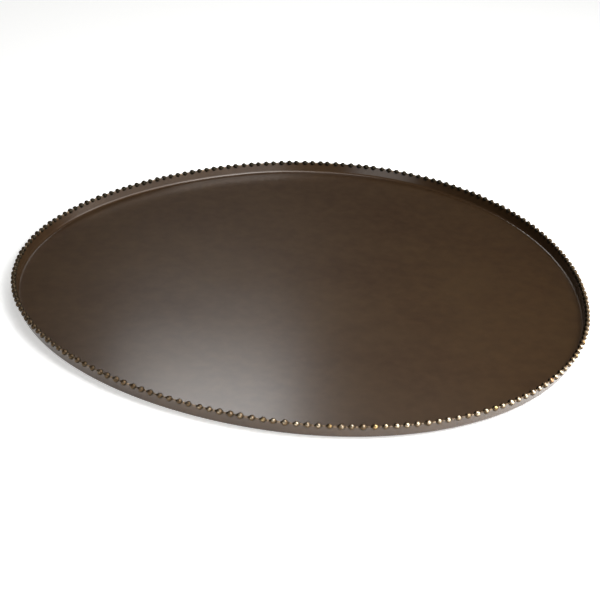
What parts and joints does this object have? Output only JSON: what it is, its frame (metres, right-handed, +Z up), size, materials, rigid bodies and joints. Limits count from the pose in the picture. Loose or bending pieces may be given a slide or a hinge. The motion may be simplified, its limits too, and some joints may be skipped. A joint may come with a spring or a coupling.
{
  "type": "beaded rim serving tray",
  "caption": "Wide, shallow round metal serving tray with a flat floor, a low flared wall and a row of small beads standing along the rim.",
  "frame": {"origin": "middle of the flat underside, on the plane that the tray stands on", "axes": "+Z up out of the tray's mouth, through the middle of its floor; the rim bulges out at -X and at 60 degrees either side of +X"},
  "size_m": [0.6163, 0.6182, 0.0167],
  "materials": {
    "patinated_sheet": "satin dark brown patina over copper alloy sheet",
    "rubbed_beads": "dark patina in the hollows, rubbed bright on the crowns"
  },
  "bodies": {
    "root": {"tray_pan": "patinated_sheet", "bead_run_01": "rubbed_beads", "bead_run_02": "rubbed_beads", "bead_run_03": "rubbed_beads", "bead_run_04": "rubbed_beads", "bead_run_05": "rubbed_beads", "bead_run_06": "rubbed_beads", "bead_run_07": "rubbed_beads", "bead_run_08": "rubbed_beads", "bead_run_09": "rubbed_beads", "bead_run_10": "rubbed_beads", "bead_run_11": "rubbed_beads", "bead_run_12": "rubbed_beads", "bead_run_13": "rubbed_beads", "bead_run_14": "rubbed_beads", "bead_run_15": "rubbed_beads", "bead_run_16": "rubbed_beads", "bead_run_17": "rubbed_beads", "bead_run_18": "rubbed_beads", "bead_run_19": "rubbed_beads", "bead_run_20": "rubbed_beads", "bead_run_21": "rubbed_beads", "bead_run_22": "rubbed_beads", "bead_run_23": "rubbed_beads", "bead_run_24": "rubbed_beads"}
  },
  "joints": []
}
